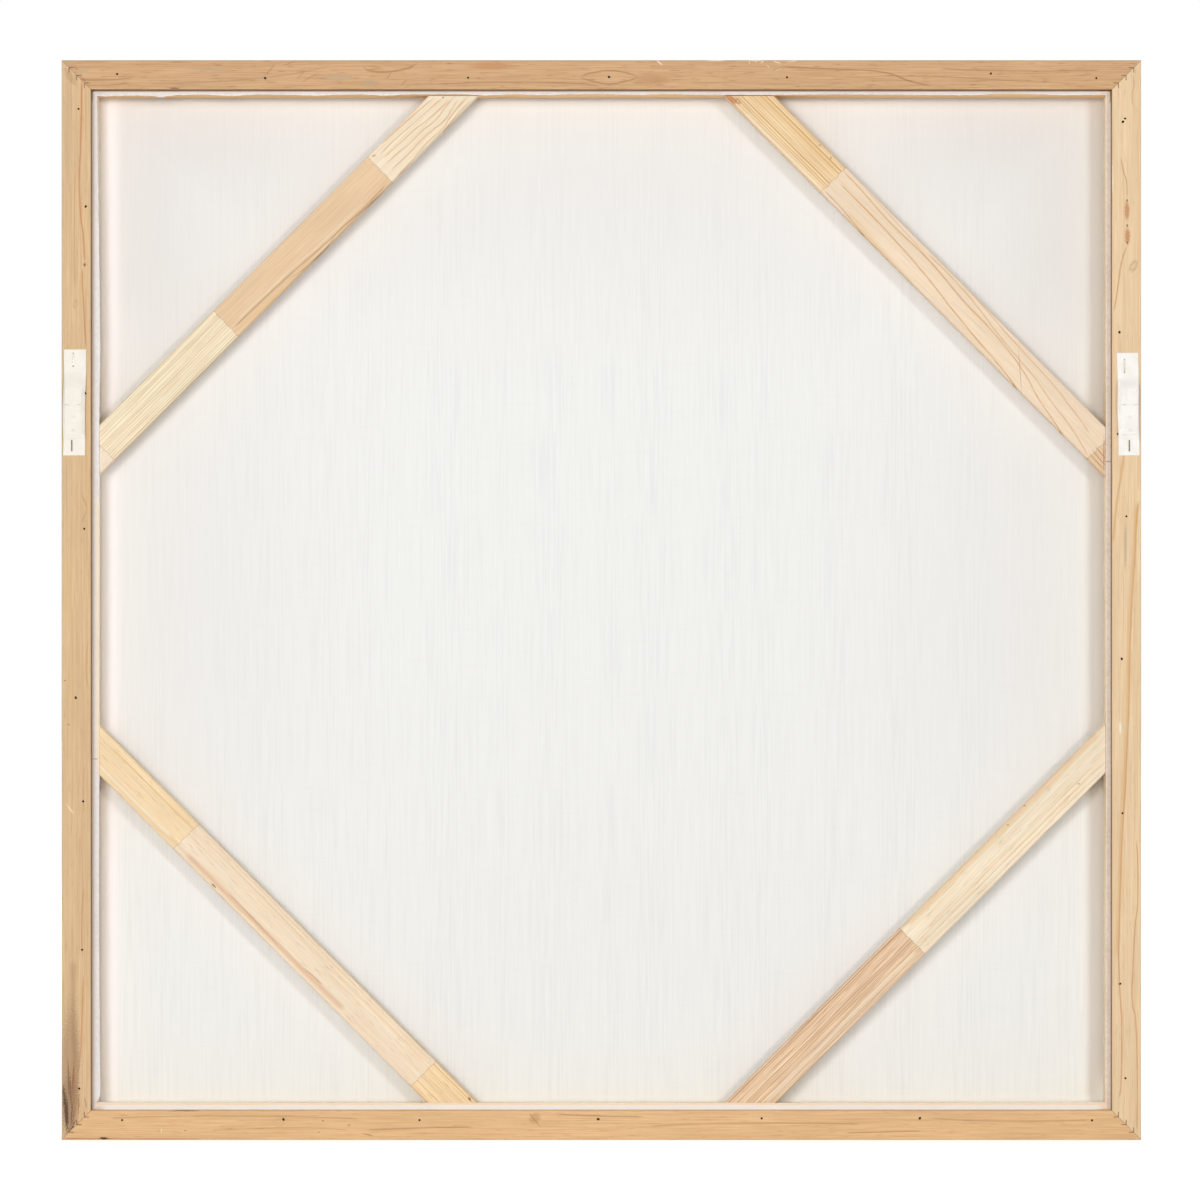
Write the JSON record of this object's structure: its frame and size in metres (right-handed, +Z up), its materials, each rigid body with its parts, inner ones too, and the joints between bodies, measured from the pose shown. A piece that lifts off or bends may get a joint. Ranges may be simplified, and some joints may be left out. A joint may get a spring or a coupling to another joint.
{
  "type": "stretched canvas in a floater frame",
  "caption": "Square primed canvas on a braced pine stretcher, set in an L-section pine floater frame, with covered D-ring hangers on the back.",
  "frame": {"origin": "middle of the bottom rail's lower face, half way through the frame's depth", "axes": "+Z up, +Y out of the painted face, +X to the right when looking at the back along +Y"},
  "size_m": [1.016, 0.051, 1.016],
  "materials": {
    "frame_pine": "sanded bare pine, weathered in places",
    "stretcher_pine": "planed bare pine",
    "brace_pine": "planed finger-jointed pine",
    "primed_cloth": "primed plain-weave cotton",
    "cover_foam": "soft matt strip",
    "nickel_steel": "nickel-plated steel",
    "dark_steel": "dull dark steel wire"
  },
  "bodies": {
    "frame": {"frame_rail_bottom": "frame_pine", "frame_rail_top": "frame_pine", "frame_stile_left": "frame_pine", "frame_stile_right": "frame_pine", "stretcher_bar_bottom": "stretcher_pine", "stretcher_bar_right": "stretcher_pine", "stretcher_bar_top": "stretcher_pine", "stretcher_bar_left": "stretcher_pine", "corner_brace_bottom_left": "brace_pine", "corner_brace_bottom_right": "brace_pine", "corner_brace_top_right": "brace_pine", "corner_brace_top_left": "brace_pine", "canvas": "primed_cloth", "brad_bottom_1": "dark_steel", "brad_bottom_2": "dark_steel", "brad_bottom_3": "dark_steel", "brad_bottom_4": "dark_steel", "brad_right_1": "dark_steel", "brad_right_2": "dark_steel", "brad_right_3": "dark_steel", "brad_right_4": "dark_steel", "brad_top_1": "dark_steel", "brad_top_2": "dark_steel", "brad_top_3": "dark_steel", "brad_top_4": "dark_steel", "brad_left_1": "dark_steel", "brad_left_2": "dark_steel", "brad_left_3": "dark_steel", "brad_left_4": "dark_steel", "v_nail_bottom_left_1": "dark_steel", "v_nail_bottom_left_2": "dark_steel", "v_nail_bottom_left_3": "dark_steel", "v_nail_bottom_right_1": "dark_steel", "v_nail_bottom_right_2": "dark_steel", "v_nail_bottom_right_3": "dark_steel", "v_nail_top_right_1": "dark_steel", "v_nail_top_right_2": "dark_steel", "v_nail_top_right_3": "dark_steel", "v_nail_top_left_1": "dark_steel", "v_nail_top_left_2": "dark_steel", "v_nail_top_left_3": "dark_steel", "stretcher_staple_bottom_left": "dark_steel", "stretcher_staple_bottom_right": "dark_steel", "stretcher_staple_top_right": "dark_steel", "stretcher_staple_top_left": "dark_steel", "hanger_strap_left": "nickel_steel", "hanger_screw_left_upper": "nickel_steel", "hanger_screw_left_lower": "nickel_steel", "hanger_cover_left": "cover_foam", "cover_staple_left_upper": "dark_steel", "cover_staple_left_lower": "dark_steel", "hanger_strap_right": "nickel_steel", "hanger_screw_right_upper": "nickel_steel", "hanger_screw_right_lower": "nickel_steel", "hanger_cover_right": "cover_foam", "cover_staple_right_upper": "dark_steel", "cover_staple_right_lower": "dark_steel"},
    "left_ring": {"hanger_ring_left": "nickel_steel"},
    "right_ring": {"hanger_ring_right": "nickel_steel"}
  },
  "joints": [
    {"name": "left_ring_swing", "type": "hinge", "parent": "frame", "child": "left_ring", "pos_m": [-0.497, -0.0249, 0.691], "axis": [1, 0, 0], "range_deg": [0, 10]},
    {"name": "right_ring_swing", "type": "hinge", "parent": "frame", "child": "right_ring", "pos_m": [0.497, -0.0249, 0.691], "axis": [1, 0, 0], "range_deg": [0, 10]}
  ]
}
